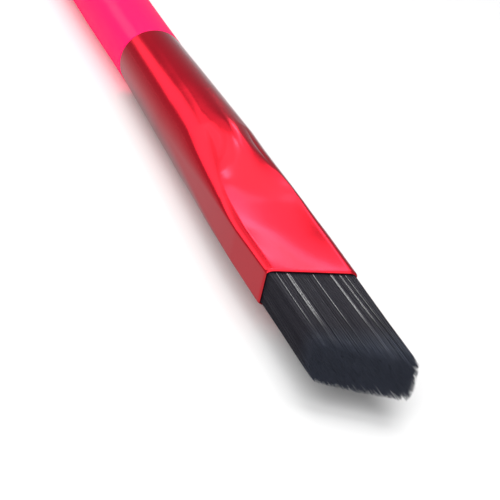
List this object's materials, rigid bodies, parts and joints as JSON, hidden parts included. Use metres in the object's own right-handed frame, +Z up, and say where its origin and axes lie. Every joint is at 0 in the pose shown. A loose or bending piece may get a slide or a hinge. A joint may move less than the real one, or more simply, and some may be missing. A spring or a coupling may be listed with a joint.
{
  "type": "angled brow brush",
  "caption": "Slim cosmetic brush with a slanted flat tuft in a pressed metal ferrule on a round lacquered handle, for shaping and filling brows.",
  "frame": {"origin": "middle of the brush's length and width, on the surface that it lies on", "axes": "+X along the brush towards the tips of the tuft, +Y across the flat towards the long side of the tuft, +Z up"},
  "size_m": [0.1696, 0.0092, 0.0084],
  "materials": {
    "handle_lacquer": "turned wood under a smooth hot pink gloss lacquer",
    "ferrule_metal": "thin aluminium tube, bright red anodised, satin gloss",
    "resin": "set adhesive resin, hidden inside the ferrule",
    "filaments": "fine straight black synthetic filaments with a faint gloss along their length"
  },
  "bodies": {
    "root": {"handle": "handle_lacquer", "ferrule": "ferrule_metal", "resin_plug": "resin", "bristle_tuft": "filaments"}
  },
  "joints": []
}
